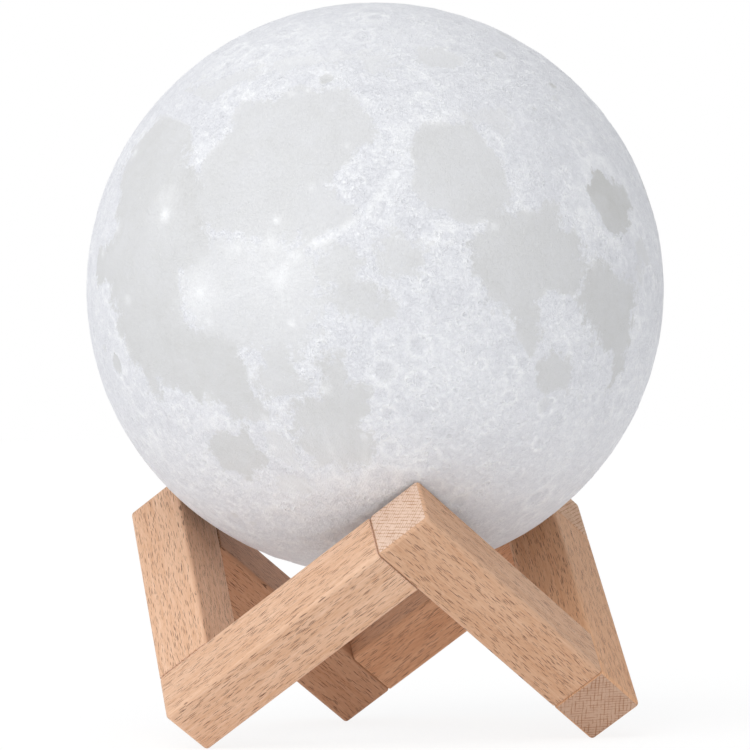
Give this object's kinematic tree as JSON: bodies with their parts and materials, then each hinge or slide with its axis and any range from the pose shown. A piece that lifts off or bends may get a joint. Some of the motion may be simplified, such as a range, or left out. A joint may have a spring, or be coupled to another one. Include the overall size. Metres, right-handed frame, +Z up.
{
  "type": "table lamp",
  "caption": "Table night lamp: a pale printed moon globe with a touch-operated rechargeable light base, resting loose on a zigzag ring stand of square wooden bars.",
  "frame": {"origin": "on the table at the centre of the stand's three feet, straight under the globe's centre", "axes": "+Z up, -Y towards the high corner at the stand's front, +X to the right seen from the front"},
  "size_m": [0.15, 0.15, 0.1901],
  "materials": {
    "beech": "satin",
    "dowel_wood": "matte",
    "printed_shell": "matte",
    "glue": "satin",
    "white_plastic": "satin",
    "plated_ring": "polished",
    "contact_metal": "polished",
    "socket_steel": "satin",
    "black_plastic": "matte",
    "clear_plastic": "gloss",
    "indicator": "gloss",
    "board_green": "satin",
    "screw_steel": "satin",
    "coil_ferrite": "matte",
    "capacitor_ceramic": "satin",
    "connector_plastic": "satin",
    "battery_foil": "satin",
    "foam_tape": "matte",
    "lead_red": "satin",
    "lead_black": "satin",
    "plate_aluminium": "satin",
    "warm_light": "gloss",
    "cool_light": "gloss",
    "lead_yellow": "satin",
    "lead_white": "satin"
  },
  "bodies": {
    "stand_fixed_half": {"stand_bar_4": "beech", "stand_bar_5": "beech", "stand_bar_6": "beech", "glued_dowels_fixed_half": "dowel_wood", "plug_dowel_high": "dowel_wood"},
    "stand_pull_half": {"stand_bar_1": "beech", "stand_bar_2": "beech", "stand_bar_3": "beech", "glued_dowels_pull_half": "dowel_wood", "plug_dowel_low": "dowel_wood"},
    "globe": {"globe_shell": "printed_shell", "glue_ring": "glue", "base_housing": "white_plastic", "touch_ring": "plated_ring", "touch_leaf": "contact_metal", "socket_shell": "socket_steel", "socket_tongue": "black_plastic", "socket_contacts": "contact_metal", "light_pipe": "clear_plastic", "charge_light": "indicator", "main_board": "board_green", "board_screws": "screw_steel", "chips": "black_plastic", "chip_pins": "socket_steel", "coil": "coil_ferrite", "capacitors": "capacitor_ceramic", "battery_header": "connector_plastic", "battery_plug": "connector_plastic", "battery_cell": "battery_foil", "battery_tape": "foam_tape", "guard_board": "board_green", "battery_lead_plus": "lead_red", "battery_lead_minus": "lead_black", "base_lid": "white_plastic", "light_plate": "plate_aluminium", "plate_screws": "screw_steel", "warm_lights": "warm_light", "cool_lights": "cool_light", "light_lead_common": "lead_red", "light_lead_warm": "lead_yellow", "light_lead_cool": "lead_white"}
  },
  "joints": [
    {"name": "globe_lift", "type": "slide", "parent": "stand_fixed_half", "child": "globe", "axis": [0, 0, 1], "range_m": [0, 0.12]},
    {"name": "stand_pull", "type": "slide", "parent": "stand_fixed_half", "child": "stand_pull_half", "axis": [0.7071, -0.4082, 0.5774], "range_m": [0, 0.03]}
  ]
}
